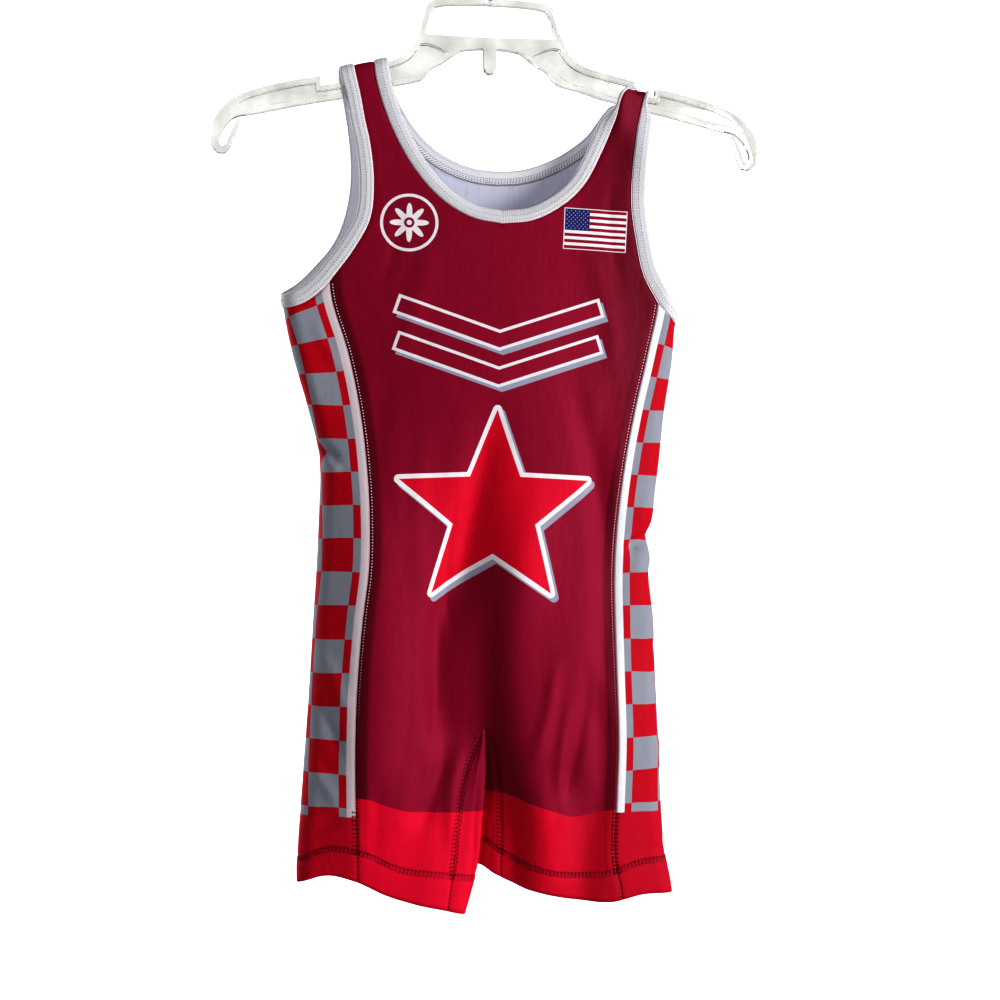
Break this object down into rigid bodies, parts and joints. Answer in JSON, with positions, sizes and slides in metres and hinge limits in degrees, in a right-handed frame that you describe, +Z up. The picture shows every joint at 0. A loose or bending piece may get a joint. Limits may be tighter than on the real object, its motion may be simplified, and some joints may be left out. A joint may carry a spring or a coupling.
{
  "type": "wrestling singlet on a clothes hanger",
  "caption": "Sleeveless one-piece wrestling suit with short legs, checked side panels and pale bound edges, hung by its shoulder straps on a clear clothes hanger with a wire hook.",
  "frame": {"origin": "inside the top of the wire hook's bend, where the hanger hangs on a rail", "axes": "+Z up the hanger, +X towards the garment's left strap end as worn, which is the viewer's right from the front, and -Y towards the front of the garment"},
  "size_m": [0.3652, 0.0469, 0.6551],
  "materials": {
    "front_cloth": "smooth stretch knit, printed maroon with a bright red band at each leg",
    "back_cloth": "smooth stretch knit, maroon",
    "side_cloth_left": "smooth stretch knit, printed with red and grey checks",
    "side_cloth_right": "smooth stretch knit, printed with red and grey checks",
    "neck_rib": "white rib knit",
    "armhole_rib_left": "white rib knit",
    "armhole_rib_right": "white rib knit",
    "hanger_plastic": "clear moulded plastic",
    "hook_wire": "bright steel wire"
  },
  "bodies": {
    "root": {"front_panel": "front_cloth", "back_panel": "back_cloth", "side_panel_left": "side_cloth_left", "side_panel_right": "side_cloth_right", "neck_binding": "neck_rib", "armhole_binding_left": "armhole_rib_left", "armhole_binding_right": "armhole_rib_right", "hanger_body": "hanger_plastic", "hanger_hook": "hook_wire"}
  },
  "joints": []
}
